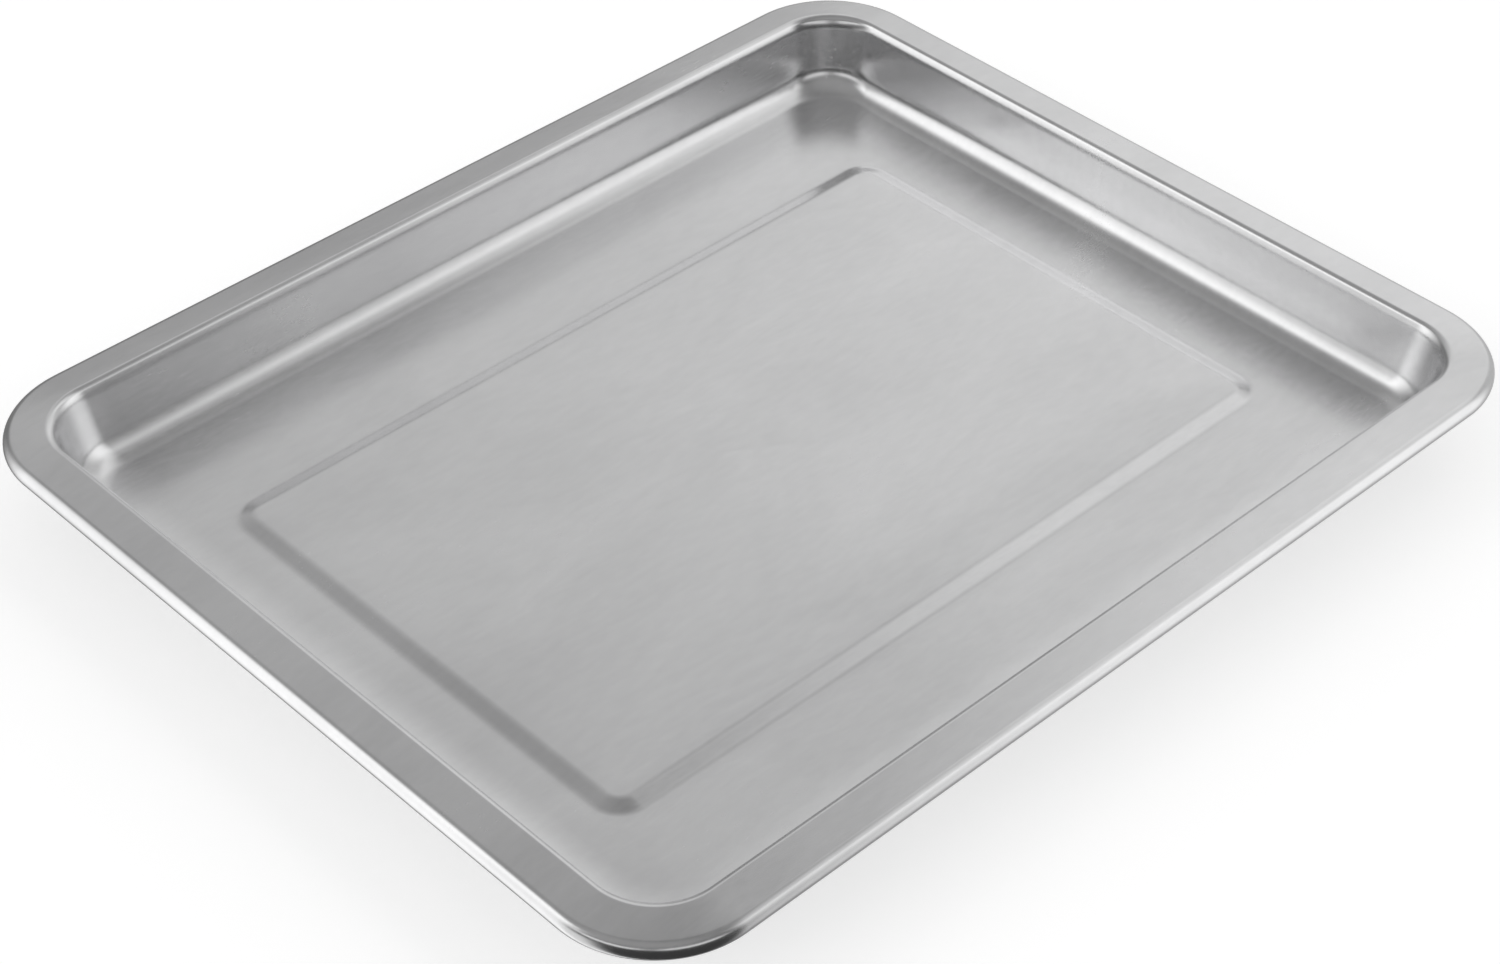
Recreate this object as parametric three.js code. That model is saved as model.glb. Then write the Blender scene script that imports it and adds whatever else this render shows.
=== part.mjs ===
// Rectangular pressed stainless-steel tray: one sheet, with a raised centre panel, filleted and drafted
// walls, a flange that falls away slightly, and an outer edge curled under into a hollow round bead.
//
// Millimetres, +Z up, +X along the long side. The origin is on the surface that the tray stands on,
// under the middle of the tray.
import * as THREE from 'three';

// Overall size, to the outside of the rolled rim.
const LENGTH = 300;
const WIDTH = 250;
const HEIGHT = 22;
const OUTER_CORNER_RADIUS = 28;
const SHEET = 0.8;

// Raised centre panel. Its length and width are measured at mid-height of the sloping border.
const PANEL_LENGTH = 218;
const PANEL_WIDTH = 139.5;
const PANEL_RISE = 1;
const PANEL_CORNER_RADIUS = 6;
const PANEL_SLOPE_DEG = 13.5;
const PANEL_EDGE_RADIUS = 8;

// Floor, fillet and wall. The floor first turns up on a wide, shallow curve, then on the fillet.
const SHALLOW_RADIUS = 60;
const SHALLOW_DEG = 8;
const FILLET_RADIUS = 8;
const FLOOR_CORNER_RADIUS = 10;
const WALL_FROM_FLOOR_DEG = 80;

// Rim: the wall flares, then bends tightly into a flange that slopes down outwards to the curled bead.
const RIM_INSET = 10.6;
const FLARE_RADIUS = 8;
const FLARE_TO_DEG = 62;
const INNER_BEND_RADIUS = 1.8;
const FLANGE_FALL_DEG = 6;
const BEAD_RADIUS = 2.6;
const CURL_END_DEG = 290;

// Facets of each curved stretch.
const CORNER_DIVISIONS = 4;
const PANEL_EDGE_STEPS = 2;
const SHALLOW_STEPS = 3;
const FILLET_STEPS = 6;
const FLARE_STEPS = 2;
const INNER_BEND_STEPS = 4;
const BEAD_OUTSIDE_STEPS = 4;
const BEAD_UNDER_STEPS = 8;

const rad = THREE.MathUtils.degToRad;

// Walks along the sheet's upper side in cross-section, from the middle of the tray outwards.
// tilt is the angle of the upper side's normal from +Z, positive when it leans away from the middle,
// so the sheet runs along (cos tilt, -sin tilt) in (outwards, up).
class SectionWalk {
  constructor(out, up) {
    this.out = out;
    this.up = up;
    this.tilt = 0;
    this.stations = [];
    this.mark();
  }

  mark() {
    this.stations.push({ out: this.out, up: this.up, tilt: this.tilt });
  }

  straight(length) {
    this.out += length * Math.cos(this.tilt);
    this.up -= length * Math.sin(this.tilt);
    this.mark();
  }

  arc(radius, endTilt, steps) {
    const startTilt = this.tilt;
    const startOut = this.out;
    const startUp = this.up;
    const turn = Math.sign(endTilt - startTilt);
    for (let i = 1; i <= steps; i += 1) {
      this.tilt = THREE.MathUtils.lerp(startTilt, endTilt, i / steps);
      this.out = startOut + turn * radius * (Math.sin(this.tilt) - Math.sin(startTilt));
      this.up = startUp + turn * radius * (Math.cos(this.tilt) - Math.cos(startTilt));
      this.mark();
    }
  }
}

// The sloping border of the raised panel, with out measured from its mid-height line.
function panelBorder() {
  const slope = rad(PANEL_SLOPE_DEG);
  const arcRise = PANEL_EDGE_RADIUS * (1 - Math.cos(slope));
  const slopeLength = (PANEL_RISE - 2 * arcRise) / Math.sin(slope);
  const run = 2 * PANEL_EDGE_RADIUS * Math.sin(slope) + slopeLength * Math.cos(slope);
  const walk = new SectionWalk(-run / 2, SHEET + PANEL_RISE);
  walk.arc(PANEL_EDGE_RADIUS, slope, PANEL_EDGE_STEPS);
  walk.straight(slopeLength);
  walk.arc(PANEL_EDGE_RADIUS, 0, PANEL_EDGE_STEPS);
  return walk.stations;
}

// From the edge of the flat floor to the end of the curl, with out measured from the outside of the
// tray, so it is negative. The wall's length makes up the height and the flange's makes up the width.
function wallAndRim() {
  const shallow = rad(SHALLOW_DEG);
  const wall = rad(WALL_FROM_FLOOR_DEG);
  const flare = rad(FLARE_TO_DEG);
  const fall = rad(FLANGE_FALL_DEG);

  const curvesRise = SHALLOW_RADIUS * (1 - Math.cos(shallow))
    + FILLET_RADIUS * (Math.cos(shallow) - Math.cos(wall))
    + FLARE_RADIUS * (Math.cos(flare) - Math.cos(wall))
    + INNER_BEND_RADIUS * (1 - Math.cos(flare));
  const wallLength = (HEIGHT - SHEET - curvesRise) / Math.sin(wall);
  const run = SHALLOW_RADIUS * Math.sin(shallow)
    + FILLET_RADIUS * (Math.sin(wall) - Math.sin(shallow))
    + wallLength * Math.cos(wall)
    + FLARE_RADIUS * (Math.sin(wall) - Math.sin(flare))
    + INNER_BEND_RADIUS * Math.sin(flare);
  const flangeRun = RIM_INSET - INNER_BEND_RADIUS * Math.sin(fall) - BEAD_RADIUS * (1 - Math.sin(fall));

  const walk = new SectionWalk(-RIM_INSET - run, SHEET);
  walk.arc(SHALLOW_RADIUS, -shallow, SHALLOW_STEPS);
  walk.arc(FILLET_RADIUS, -wall, FILLET_STEPS);
  walk.straight(wallLength);
  walk.arc(FLARE_RADIUS, -flare, FLARE_STEPS);
  walk.arc(INNER_BEND_RADIUS, 0, INNER_BEND_STEPS);
  walk.arc(INNER_BEND_RADIUS, fall, 1);
  walk.straight(flangeRun / Math.cos(fall));
  walk.arc(BEAD_RADIUS, rad(90), BEAD_OUTSIDE_STEPS);
  walk.arc(BEAD_RADIUS, rad(CURL_END_DEG), BEAD_UNDER_STEPS);
  return walk.stations;
}

// Corner radius of the tray's plan outline. The rim's outlines are concentric; below the rim the
// corners close in steadily to the floor's own corner radius.
function cornerRadius(out, floorOut) {
  if (out > -RIM_INSET) {
    return OUTER_CORNER_RADIUS + out;
  }
  const towardsFloor = (out + RIM_INSET) / (floorOut + RIM_INSET);
  return THREE.MathUtils.lerp(OUTER_CORNER_RADIUS - RIM_INSET, FLOOR_CORNER_RADIUS, towardsFloor);
}

// Each station becomes a rounded rectangle at one height.
function panelRing({ out, up, tilt }) {
  return {
    halfX: PANEL_LENGTH / 2 + out,
    halfY: PANEL_WIDTH / 2 + out,
    corner: PANEL_CORNER_RADIUS + out,
    up,
    tilt,
  };
}

function trayRing({ out, up, tilt }, floorOut) {
  return {
    halfX: LENGTH / 2 + out,
    halfY: WIDTH / 2 + out,
    corner: cornerRadius(out, floorOut),
    up,
    tilt,
  };
}

// The same ring on the underside, one sheet thickness away along the normal.
function undersideRing({ halfX, halfY, corner, up, tilt }) {
  const shift = SHEET * Math.sin(tilt);
  return {
    halfX: halfX - shift,
    halfY: halfY - shift,
    corner: corner - shift,
    up: up - SHEET * Math.cos(tilt),
    tilt,
  };
}

// Points of a rounded rectangle, counter-clockwise seen from above.
function ringPoints({ halfX, halfY, corner, up }) {
  const x = halfX - corner;
  const y = halfY - corner;
  const shape = new THREE.Shape();
  shape.absarc(x, y, corner, 0, rad(90));
  shape.absarc(-x, y, corner, rad(90), rad(180));
  shape.absarc(-x, -y, corner, rad(180), rad(270));
  shape.absarc(x, -y, corner, rad(270), rad(360));
  return shape.getPoints(CORNER_DIVISIONS).map((point) => new THREE.Vector3(point.x, point.y, up));
}

// One closed surface through all the rings in turn. The first and last ring are each closed by a fan
// about a point on the Z axis.
function loftClosed(rings) {
  const outlines = rings.map(ringPoints);
  const count = outlines[0].length;
  const vertices = outlines.flat();
  const indices = [];
  for (let ring = 0; ring + 1 < outlines.length; ring += 1) {
    for (let i = 0; i < count; i += 1) {
      const next = (i + 1) % count;
      const a = ring * count + i;
      const b = (ring + 1) * count + i;
      const c = (ring + 1) * count + next;
      const d = ring * count + next;
      indices.push(a, b, c);
      indices.push(a, c, d);
    }
  }

  const topCentre = vertices.length;
  const bottomCentre = topCentre + 1;
  vertices.push(new THREE.Vector3(0, 0, rings[0].up));
  vertices.push(new THREE.Vector3(0, 0, rings.at(-1).up));
  const lastRing = (outlines.length - 1) * count;
  for (let i = 0; i < count; i += 1) {
    const next = (i + 1) % count;
    indices.push(topCentre, i, next);
    indices.push(bottomCentre, lastRing + next, lastRing + i);
  }

  const geometry = new THREE.BufferGeometry().setFromPoints(vertices);
  geometry.setIndex(indices);
  geometry.computeVertexNormals();
  return geometry;
}

function trayGeometry() {
  const rimStations = wallAndRim();
  const floorOut = rimStations[0].out;
  const upperSide = [
    ...panelBorder().map(panelRing),
    ...rimStations.map((station) => trayRing(station, floorOut)),
  ];
  const underside = upperSide.map(undersideRing).reverse();
  return loftClosed([...upperSide, ...underside]);
}

const satinSteel = new THREE.MeshStandardMaterial({
  color: 0xc4c5c7,
  roughness: 0.32,
  metalness: 1,
});

const tray = new THREE.Mesh(trayGeometry(), satinSteel);
tray.name = 'pressed_tray';

const part = new THREE.Group();
part.add(tray);

export default part;
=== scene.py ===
"""Pressed stainless-steel tray on a pale floor, under soft studio light.

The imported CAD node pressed_tray is faceted, so it is replaced by one fine mesh of the same sheet:
the same cross-section, walked in smaller steps round smoother corners. Metres throughout.
"""
import math
import typing

import bpy
from mathutils import Matrix, Vector, noise


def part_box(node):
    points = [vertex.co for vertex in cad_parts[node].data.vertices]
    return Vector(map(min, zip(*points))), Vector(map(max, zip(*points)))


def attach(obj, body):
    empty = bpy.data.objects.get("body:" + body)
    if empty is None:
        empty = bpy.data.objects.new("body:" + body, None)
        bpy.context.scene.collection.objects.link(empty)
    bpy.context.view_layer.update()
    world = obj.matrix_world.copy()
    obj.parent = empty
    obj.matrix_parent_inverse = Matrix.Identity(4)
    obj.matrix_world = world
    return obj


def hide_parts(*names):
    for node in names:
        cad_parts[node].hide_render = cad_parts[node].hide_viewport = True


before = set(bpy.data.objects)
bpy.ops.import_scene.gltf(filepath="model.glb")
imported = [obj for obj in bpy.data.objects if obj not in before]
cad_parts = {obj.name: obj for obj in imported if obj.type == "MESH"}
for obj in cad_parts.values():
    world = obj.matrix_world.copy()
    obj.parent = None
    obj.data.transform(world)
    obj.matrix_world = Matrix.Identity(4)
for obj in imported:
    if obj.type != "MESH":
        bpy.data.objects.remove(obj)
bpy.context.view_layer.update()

TRAY_NODE = "pressed_tray"
MM = 0.001

# ---------------------------------------------------------------- sizes of the sheet, in metres
TRAY_LOW, TRAY_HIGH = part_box(TRAY_NODE)
HALF_LENGTH = TRAY_HIGH[0]
HALF_WIDTH = TRAY_HIGH[1]
HEIGHT = TRAY_HIGH[2]
OUTER_CORNER_RADIUS = 28 * MM
SHEET = 0.8 * MM

PANEL_HALF_LENGTH = 109 * MM
PANEL_HALF_WIDTH = 69.75 * MM
PANEL_RISE = 1 * MM
PANEL_CORNER_RADIUS = 6 * MM
PANEL_SLOPE = math.radians(13.5)
PANEL_EDGE_RADIUS = 8 * MM

SHALLOW_RADIUS = 60 * MM
SHALLOW = math.radians(8)
FILLET_RADIUS = 8 * MM
FLOOR_CORNER_RADIUS = 10 * MM
WALL = math.radians(80)

RIM_INSET = 10.6 * MM
FLARE_RADIUS = 8 * MM
FLARE = math.radians(62)
INNER_BEND_RADIUS = 1.8 * MM
FLANGE_FALL = math.radians(6)
BEAD_RADIUS = 2.6 * MM
CURL_END = math.radians(290)

# ---------------------------------------------------------------- unevenness of the rolled sheet
PANEL_WAVE = 0.22 * MM      # the panel crowns up by at most this, in slow waves
FLOOR_WAVE = 0.06 * MM
FLANGE_WAVE = 0.12 * MM     # the flange's outer edge dips by at most this
WAVES_PER_METRE = 13
WAVE_GAIN = 1.4             # stretches the noise to reach both ends of its range
PANEL_LAYER, FLOOR_LAYER, FLANGE_LAYER = 1.5, 2.5, 4.5    # unrelated slices of the noise
WAVE_FADE = 18 * MM         # waves die out over this distance from a pressed edge
WALL_FOOT = 30 * MM         # from the tray's outside to where the floor begins to turn up

# ---------------------------------------------------------------- fineness of the mesh
ARC_STEP = math.radians(4)
HOLD = 0.12 * MM          # a support line this far inside each end of a straight stretch
CORNER_STEPS = 28
LONG_SIDE_STEPS = 48
SHORT_SIDE_STEPS = 40
PANEL_RINGS = 22
FLOOR_PARTS = 8
WALL_PARTS = 5
FLANGE_PARTS = 4
LEAST_ARC_STEPS = 3


class SectionWalk:
    """Walks along the sheet's upper side in cross-section, from the middle of the tray outwards.

    tilt is the angle of the upper side's normal from +Z, positive when it leans away from the middle.
    """

    def __init__(self, out, up):
        self.out = out
        self.up = up
        self.tilt = 0.0
        self.stations = []
        self.mark()

    def mark(self):
        self.stations.append((self.out, self.up, self.tilt))

    def step(self, length):
        self.out += length * math.cos(self.tilt)
        self.up -= length * math.sin(self.tilt)
        self.mark()

    def straight(self, length, parts=1):
        self.step(HOLD)
        for _ in range(parts):
            self.step((length - 2 * HOLD) / parts)
        self.step(HOLD)

    def arc(self, radius, end_tilt):
        start_tilt, start_out, start_up = self.tilt, self.out, self.up
        turn = math.copysign(1, end_tilt - start_tilt)
        steps = max(LEAST_ARC_STEPS, math.ceil(abs(end_tilt - start_tilt) / ARC_STEP))
        for i in range(1, steps + 1):
            self.tilt = start_tilt + (end_tilt - start_tilt) * i / steps
            self.out = start_out + turn * radius * (math.sin(self.tilt) - math.sin(start_tilt))
            self.up = start_up + turn * radius * (math.cos(self.tilt) - math.cos(start_tilt))
            self.mark()


def panel_border():
    """The sloping border of the raised panel; out is measured from its mid-height line."""
    arc_rise = PANEL_EDGE_RADIUS * (1 - math.cos(PANEL_SLOPE))
    slope_length = (PANEL_RISE - 2 * arc_rise) / math.sin(PANEL_SLOPE)
    run = 2 * PANEL_EDGE_RADIUS * math.sin(PANEL_SLOPE) + slope_length * math.cos(PANEL_SLOPE)
    walk = SectionWalk(-run / 2, SHEET + PANEL_RISE)
    walk.arc(PANEL_EDGE_RADIUS, PANEL_SLOPE)
    walk.straight(slope_length)
    walk.arc(PANEL_EDGE_RADIUS, 0)
    return walk.stations


def wall_and_rim():
    """From the edge of the flat floor to the end of the curl; out is measured from the outside."""
    curves_rise = (SHALLOW_RADIUS * (1 - math.cos(SHALLOW))
                   + FILLET_RADIUS * (math.cos(SHALLOW) - math.cos(WALL))
                   + FLARE_RADIUS * (math.cos(FLARE) - math.cos(WALL))
                   + INNER_BEND_RADIUS * (1 - math.cos(FLARE)))
    wall_length = (HEIGHT - SHEET - curves_rise) / math.sin(WALL)
    run = (SHALLOW_RADIUS * math.sin(SHALLOW)
           + FILLET_RADIUS * (math.sin(WALL) - math.sin(SHALLOW))
           + wall_length * math.cos(WALL)
           + FLARE_RADIUS * (math.sin(WALL) - math.sin(FLARE))
           + INNER_BEND_RADIUS * math.sin(FLARE))
    flange_run = (RIM_INSET - INNER_BEND_RADIUS * math.sin(FLANGE_FALL)
                  - BEAD_RADIUS * (1 - math.sin(FLANGE_FALL)))
    walk = SectionWalk(-RIM_INSET - run, SHEET)
    walk.arc(SHALLOW_RADIUS, -SHALLOW)
    walk.arc(FILLET_RADIUS, -WALL)
    walk.straight(wall_length, WALL_PARTS)
    walk.arc(FLARE_RADIUS, -FLARE)
    walk.arc(INNER_BEND_RADIUS, 0)
    walk.arc(INNER_BEND_RADIUS, FLANGE_FALL)
    walk.straight(flange_run / math.cos(FLANGE_FALL), FLANGE_PARTS)
    walk.arc(BEAD_RADIUS, math.pi / 2)
    walk.arc(BEAD_RADIUS, CURL_END)
    return walk.stations


def corner_radius(out, floor_out):
    """Concentric outlines round the rim; below it the corners close in to the floor's own radius."""
    if out > -RIM_INSET:
        return OUTER_CORNER_RADIUS + out
    towards_floor = (out + RIM_INSET) / (floor_out + RIM_INSET)
    wall_top = OUTER_CORNER_RADIUS - RIM_INSET
    return wall_top + (FLOOR_CORNER_RADIUS - wall_top) * towards_floor


def upper_rings():
    """(half length, half width, corner radius, height, tilt) of each outline on the upper side."""
    rings = []
    border = panel_border()
    inner_out = border[0][0]
    for i in range(1, PANEL_RINGS):
        share = i / PANEL_RINGS
        half_x = (PANEL_HALF_LENGTH + inner_out) * share
        half_y = (PANEL_HALF_WIDTH + inner_out) * share
        rings.append((half_x, half_y, (PANEL_CORNER_RADIUS + inner_out) * share, border[0][1], 0.0))
    for out, up, tilt in border:
        rings.append((PANEL_HALF_LENGTH + out, PANEL_HALF_WIDTH + out, PANEL_CORNER_RADIUS + out,
                      up, tilt))
    rim = wall_and_rim()
    floor_out = rim[0][0]
    rings.extend(floor_rings(rings[-1], floor_out))
    for out, up, tilt in rim:
        rings.append((HALF_LENGTH + out, HALF_WIDTH + out, corner_radius(out, floor_out), up, tilt))
    return rings


def floor_rings(inner, floor_out):
    """Outlines across the flat floor, between the panel's border and the shallow curve."""
    outer = (HALF_LENGTH + floor_out, HALF_WIDTH + floor_out, FLOOR_CORNER_RADIUS)
    rings = []
    for i in range(1, FLOOR_PARTS):
        share = i / FLOOR_PARTS
        sizes = [a + (b - a) * share for a, b in zip(inner[:3], outer)]
        rings.append((*sizes, SHEET, 0.0))
    return rings


def underside_ring(ring):
    """The same outline one sheet thickness away along the normal."""
    half_x, half_y, corner, up, tilt = ring
    shift = SHEET * math.sin(tilt)
    return (half_x - shift, half_y - shift, corner - shift, up - SHEET * math.cos(tilt), tilt)


def ring_points(ring):
    """Points of a rounded rectangle with subdivided sides, counter-clockwise seen from above."""
    half_x, half_y, corner, up, _ = ring
    quarters = [(1, 1), (-1, 1), (-1, -1), (1, -1)]
    points = []
    for quarter, (sx, sy) in enumerate(quarters):
        cx, cy = sx * (half_x - corner), sy * (half_y - corner)
        for i in range(CORNER_STEPS + 1):
            angle = math.pi / 2 * (quarter + i / CORNER_STEPS)
            points.append(Vector((cx + corner * math.cos(angle), cy + corner * math.sin(angle), up)))
        steps = LONG_SIDE_STEPS if quarter % 2 == 0 else SHORT_SIDE_STEPS
        nx, ny = quarters[(quarter + 1) % 4]
        start = points[-1].copy()
        angle = math.pi / 2 * (quarter + 1)
        end = Vector((nx * (half_x - corner) + corner * math.cos(angle),
                      ny * (half_y - corner) + corner * math.sin(angle), up))
        for i in range(1, steps):
            points.append(start.lerp(end, i / steps))
    return points


def soft_step(value):
    value = min(max(value, 0.0), 1.0)
    return value * value * (3 - 2 * value)


def wave(x, y, layer):
    """Slow noise between 0 and 1."""
    here = Vector((x * WAVES_PER_METRE, y * WAVES_PER_METRE, layer))
    return 0.5 + 0.5 * max(-1.0, min(1.0, WAVE_GAIN * noise.noise(here)))


def unevenness(x, y):
    """Height to add to both sides of the sheet at x, y, so that no large face is perfectly flat."""
    inside_panel = min(PANEL_HALF_LENGTH - abs(x), PANEL_HALF_WIDTH - abs(y))
    if inside_panel > 0:
        return PANEL_WAVE * wave(x, y, PANEL_LAYER) * soft_step(inside_panel / WAVE_FADE)
    from_rim = min(HALF_LENGTH - abs(x), HALF_WIDTH - abs(y))
    if from_rim < RIM_INSET:
        return -FLANGE_WAVE * wave(x, y, FLANGE_LAYER) * soft_step(1 - from_rim / RIM_INSET)
    from_wall = from_rim - WALL_FOOT
    return FLOOR_WAVE * wave(x, y, FLOOR_LAYER) * soft_step(min(-inside_panel, from_wall) / WAVE_FADE)


def tray_mesh():
    upper = upper_rings()
    rings = upper + [underside_ring(ring) for ring in reversed(upper)]
    vertices = []
    faces = []
    for ring in rings:
        vertices.extend(ring_points(ring))
    for point in vertices:
        point.z += unevenness(point.x, point.y)
    count = len(vertices) // len(rings)
    for r in range(len(rings) - 1):
        for i in range(count):
            j = (i + 1) % count
            faces.append((r * count + i, (r + 1) * count + i, (r + 1) * count + j, r * count + j))
    vertices.append(Vector((0, 0, rings[0][3])))
    vertices.append(Vector((0, 0, rings[-1][3])))
    top, bottom, last = len(vertices) - 2, len(vertices) - 1, (len(rings) - 1) * count
    for i in range(count):
        j = (i + 1) % count
        faces.append((top, i, j))
        faces.append((bottom, last + j, last + i))
    mesh = bpy.data.meshes.new("tray_sheet")
    mesh.from_pydata([tuple(v) for v in vertices], [], faces)
    mesh.shade_smooth()
    return mesh


def make_tray():
    tray = bpy.data.objects.new("tray_sheet", tray_mesh())
    bpy.context.collection.objects.link(tray)
    tray.data.materials.append(satin_steel())
    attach(tray, "root")
    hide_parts(TRAY_NODE)


# ---------------------------------------------------------------- small helpers for node trees
def math_node(tree, operation, a, b=0.0):
    """A Math node's result; a and b are numbers or sockets."""
    node = tree.nodes.new("ShaderNodeMath")
    node.operation = operation
    for socket, value in zip(node.inputs, (a, b)):
        if isinstance(value, bpy.types.NodeSocket):
            tree.links.new(value, socket)
        else:
            socket.default_value = value
    return node.outputs[0]


def remap(tree, value, low, high, to_low=0.0, to_high=1.0, smooth=False):
    """value taken from the range low..high to the range to_low..to_high, and held at its ends."""
    node = tree.nodes.new("ShaderNodeMapRange")
    node.interpolation_type = "SMOOTHSTEP" if smooth else "LINEAR"
    tree.links.new(value, node.inputs["Value"])
    for name, number in (("From Min", low), ("From Max", high), ("To Min", to_low), ("To Max", to_high)):
        node.inputs[name].default_value = number
    return node.outputs["Result"]


def weighted_sum(tree, sockets, shares):
    """The sockets' sum, each multiplied by its share."""
    total = 0.0
    for socket, share in zip(sockets, shares):
        total = math_node(tree, "ADD", math_node(tree, "MULTIPLY", socket, share), total)
    return total


def stretched_noise(tree, stretch, scale, detail, roughness, distortion):
    """Noise in the tray's own frame, with scale in cycles per metre before it is stretched."""
    place = tree.nodes.new("ShaderNodeTexCoord").outputs["Object"]
    mapping = tree.nodes.new("ShaderNodeMapping")
    mapping.inputs["Scale"].default_value = stretch
    tree.links.new(place, mapping.inputs["Vector"])
    texture = tree.nodes.new("ShaderNodeTexNoise")
    texture.inputs["Scale"].default_value = scale
    texture.inputs["Detail"].default_value = detail
    texture.inputs["Roughness"].default_value = roughness
    texture.inputs["Distortion"].default_value = distortion
    tree.links.new(mapping.outputs["Vector"], texture.inputs["Vector"])
    return texture.outputs["Fac"]


# ---------------------------------------------------------------- satin steel
class NoiseShape(typing.NamedTuple):
    """Stretch along each axis, cycles per metre, detail, roughness, and distortion."""
    stretch: tuple
    scale: float
    detail: float
    roughness: float
    distortion: float = 0.0


STEEL_DARK = (0.675, 0.675, 0.68, 1)
STEEL_LIGHT = (0.80, 0.80, 0.805, 1)
ROUGHNESS_RANGE = (0.20, 0.28)
CLOUDS = NoiseShape((0.5, 1, 1), 26, 4, 0.6, 0.6)      # soft patches a few centimetres long
MOTTLE = NoiseShape((0.35, 1, 1), 420, 3, 0.6)
GRAIN = NoiseShape((0.2, 1, 1), 1500, 2, 0.6)          # the rolling grain runs along X
TONE_SHARES = (0.75, 0.20, 0.10)                  # of clouds, mottle and grain
WEAR_SHARES = (0.5, 0.5)                          # of clouds and grain
NOISE_RANGE = (0.3, 0.7)                          # where most of the noise lies
GRAIN_HEIGHT = 0.001 * MM
MOTTLE_HEIGHT = 0.0027 * MM


def satin_steel():
    """Rolled sheet with a soft satin finish: cloudy patches, short grain streaks and faint mottling."""
    material = bpy.data.materials.new("satin_steel")
    material.use_nodes = True
    tree = material.node_tree
    shader = tree.nodes["Principled BSDF"]
    shader.inputs["Metallic"].default_value = 1

    clouds = stretched_noise(tree, *CLOUDS)
    mottle = stretched_noise(tree, *MOTTLE)
    grain = stretched_noise(tree, *GRAIN)

    tone = weighted_sum(tree, (clouds, mottle, grain), TONE_SHARES)
    colour = tree.nodes.new("ShaderNodeMix")
    colour.data_type = "RGBA"
    colour.inputs["A"].default_value = STEEL_DARK
    colour.inputs["B"].default_value = STEEL_LIGHT
    tree.links.new(remap(tree, tone, *NOISE_RANGE), colour.inputs["Factor"])
    tree.links.new(colour.outputs["Result"], shader.inputs["Base Color"])

    wear = weighted_sum(tree, (clouds, grain), WEAR_SHARES)
    tree.links.new(remap(tree, wear, *NOISE_RANGE, *ROUGHNESS_RANGE), shader.inputs["Roughness"])

    fine = bump(tree, grain, GRAIN_HEIGHT)
    tree.links.new(bump(tree, mottle, MOTTLE_HEIGHT, fine), shader.inputs["Normal"])
    return material


def bump(tree, height, distance, below=None):
    node = tree.nodes.new("ShaderNodeBump")
    node.inputs["Strength"].default_value = 1
    node.inputs["Distance"].default_value = distance
    tree.links.new(height, node.inputs["Height"])
    if below is not None:
        tree.links.new(below, node.inputs["Normal"])
    return node.outputs["Normal"]


# ---------------------------------------------------------------- studio
FLOOR_HALF_SIZE = 6
FLOOR_ALBEDO = 0.8
FLOOR_GLOW = 0.62


def make_floor():
    """A pale light table. It is left out of reflections, where the side panels run on below it."""
    size = FLOOR_HALF_SIZE
    corners = [(-size, -size, 0), (size, -size, 0), (size, size, 0), (-size, size, 0)]
    mesh = bpy.data.meshes.new("studio_floor")
    mesh.from_pydata(corners, [], [(0, 1, 2, 3)])
    floor = bpy.data.objects.new("studio_floor", mesh)
    bpy.context.collection.objects.link(floor)
    floor.visible_glossy = False
    material = bpy.data.materials.new("pale_floor")
    material.use_nodes = True
    shader = material.node_tree.nodes["Principled BSDF"]
    shader.inputs["Base Color"].default_value = (FLOOR_ALBEDO, FLOOR_ALBEDO, FLOOR_ALBEDO, 1)
    shader.inputs["Roughness"].default_value = 1
    shader.inputs["Specular IOR Level"].default_value = 0
    shader.inputs["Emission Color"].default_value = (1, 1, 1, 1)
    shader.inputs["Emission Strength"].default_value = FLOOR_GLOW
    mesh.materials.append(material)


class Panel(typing.NamedTuple):
    """A soft-edged light seen from the tray, in degrees: azimuth from +X towards +Y, and elevation.

    Each softness is how far an edge fades to either side of the place that is given for it.
    """
    azimuth: float
    half_width: float
    side_softness: tuple
    bottom: float
    bottom_softness: float
    top: float
    top_softness: float
    radiance: float


BELOW_EVERYTHING = -100
PANELS = [
    Panel(-43, 19, (9, 15), -40, 35, 46, 14, 1.15),                   # tall panel right of the camera
    Panel(136, 18, (28, 11), BELOW_EVERYTHING, 5, 48, 7, 1.37),       # tall panel left of it
    Panel(168, 10, (10, 12), BELOW_EVERYTHING, 5, 8, 10, 0.9),        # and its low end
    Panel(188, 27, (11, 12), 26, 6, 31, 7, 2.1),                      # two strips beside the camera
    Panel(-105, 26, (11, 10), 22, 4, 34, 8, 1.0),
    Panel(15, 35, (14, 15), BELOW_EVERYTHING, 5, 53, 25, 0.53),       # dim wall beyond the tray
    Panel(75, 26, (14, 25), BELOW_EVERYTHING, 5, 23, 7, 0.18),        # its left end, in two heights
    Panel(67, 22, (16, 28), 25, 7, 54, 22, 0.56),
    Panel(-6, 34, (12, 13), 43, 5, 59, 4, 0.60),                      # high strip beyond the tray
    Panel(27, 19, (8, 7), 21, 6, 43, 4, 0.23),                        # bright patches on the dim wall
    Panel(20, 15, (8, 4), 14, 6, 27, 6, 0.17),
]
ROOM_RADIANCE = 0.05
CEILING_RADIANCE = 0.29
CEILING_FROM = Vector((-0.633, -0.112, 0.766))
CEILING_SPREAD = (0.1, 0.9)        # cosine to CEILING_FROM where the ceiling starts and is full
CEILING_ELEVATION = (15, 60)       # degrees, likewise


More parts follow.
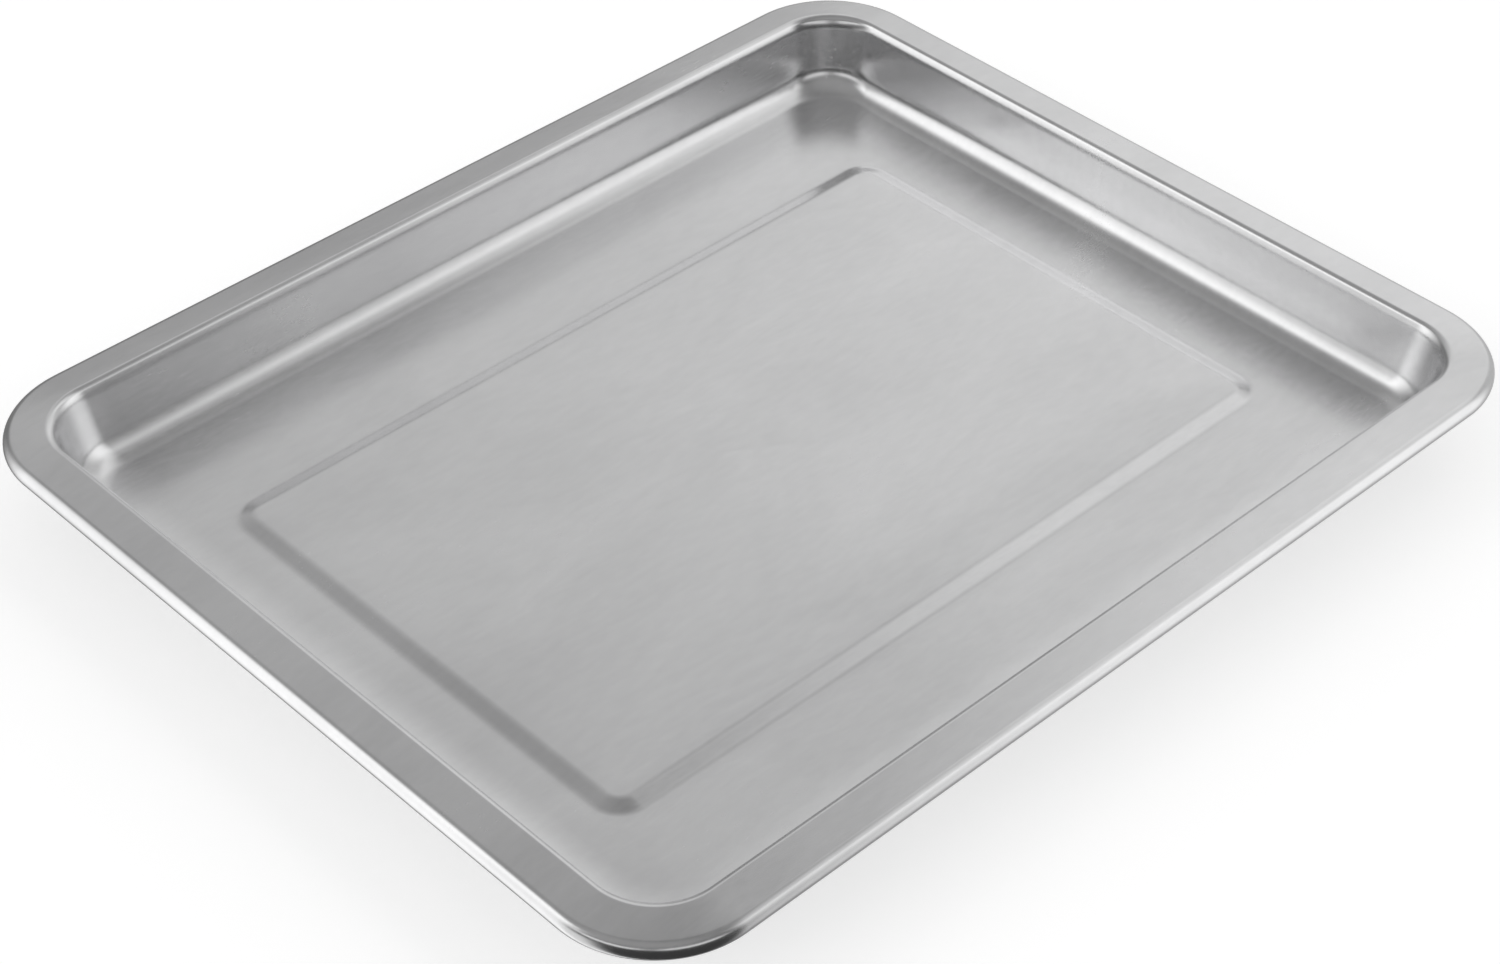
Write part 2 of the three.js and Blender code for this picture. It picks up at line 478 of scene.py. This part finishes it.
def panel_light(tree, x, y, elevation, panel):
    """The panel's radiance in the direction that x, y and elevation give."""
    cos, sin = math.cos(math.radians(panel.azimuth)), math.sin(math.radians(panel.azimuth))
    ahead = math_node(tree, "ADD", math_node(tree, "MULTIPLY", x, cos), math_node(tree, "MULTIPLY", y, sin))
    aside = math_node(tree, "SUBTRACT", math_node(tree, "MULTIPLY", y, cos),
                      math_node(tree, "MULTIPLY", x, sin))
    turn = math_node(tree, "DEGREES", math_node(tree, "ARCTAN2", aside, ahead))
    width, (soft_low, soft_high) = panel.half_width, panel.side_softness
    window = [
        remap(tree, turn, -width - soft_low, -width + soft_low, smooth=True),
        remap(tree, turn, width - soft_high, width + soft_high, 1, 0, smooth=True),
        remap(tree, elevation, panel.bottom - panel.bottom_softness,
              panel.bottom + panel.bottom_softness, smooth=True),
        remap(tree, elevation, panel.top - panel.top_softness,
              panel.top + panel.top_softness, 1, 0, smooth=True),
    ]
    light = panel.radiance
    for edge in window:
        light = math_node(tree, "MULTIPLY", edge, light)
    return light


def ceiling_light(tree, direction, elevation):
    """A dim ceiling, brighter on the camera's side."""
    dot = tree.nodes.new("ShaderNodeVectorMath")
    dot.operation = "DOT_PRODUCT"
    tree.links.new(direction, dot.inputs[0])
    dot.inputs[1].default_value = CEILING_FROM
    towards = remap(tree, dot.outputs["Value"], *CEILING_SPREAD, smooth=True)
    high = remap(tree, elevation, *CEILING_ELEVATION, smooth=True)
    ceiling = math_node(tree, "MULTIPLY", math_node(tree, "MULTIPLY", towards, high), CEILING_RADIANCE)
    return math_node(tree, "ADD", ceiling, ROOM_RADIANCE)


def make_world():
    world = bpy.data.worlds.new("studio")
    bpy.context.scene.world = world
    world.use_nodes = True
    tree = world.node_tree
    direction = tree.nodes.new("ShaderNodeTexCoord").outputs["Generated"]
    split = tree.nodes.new("ShaderNodeSeparateXYZ")
    tree.links.new(direction, split.inputs[0])
    x, y, z = split.outputs
    elevation = math_node(tree, "DEGREES", math_node(tree, "ARCSINE", z))
    light = ceiling_light(tree, direction, elevation)
    for panel in PANELS:
        light = math_node(tree, "ADD", light, panel_light(tree, x, y, elevation, panel))
    background = tree.nodes["Background"]
    background.inputs["Color"].default_value = (1, 1, 1, 1)
    tree.links.new(light, background.inputs["Strength"])


# ---------------------------------------------------------------- camera
# The focal length and the shift of the lens are shares of the image width.
FOCAL_SHARE = 2.1034881
CENTRE_SHIFT = (0.0310536, 0.0026126)
SENSOR_WIDTH = 36           # millimetres, as Blender takes it
CLIP_START = 0.01
CAMERA_PLACE = Vector((-0.4223855, -0.4378978, 0.5023198))
CAMERA_ROTATION = Vector((2.139137, -0.8476827, 0.3850761))    # axis times angle, with y down, z ahead


def make_camera():
    data = bpy.data.cameras.new("camera")
    camera = bpy.data.objects.new("camera", data)
    bpy.context.collection.objects.link(camera)
    data.sensor_width = SENSOR_WIDTH
    data.lens = FOCAL_SHARE * data.sensor_width
    data.shift_x, data.shift_y = CENTRE_SHIFT
    data.clip_start = CLIP_START
    angle = CAMERA_ROTATION.length
    world_to_view = Matrix.Rotation(angle, 3, CAMERA_ROTATION.normalized())
    flip = Matrix(((1, 0, 0), (0, -1, 0), (0, 0, -1)))
    camera.matrix_world = Matrix.Translation(CAMERA_PLACE) @ (flip @ world_to_view).transposed().to_4x4()
    bpy.context.scene.camera = camera


make_tray()
make_floor()
make_world()
make_camera()
bpy.context.scene.view_settings.view_transform = "Standard"
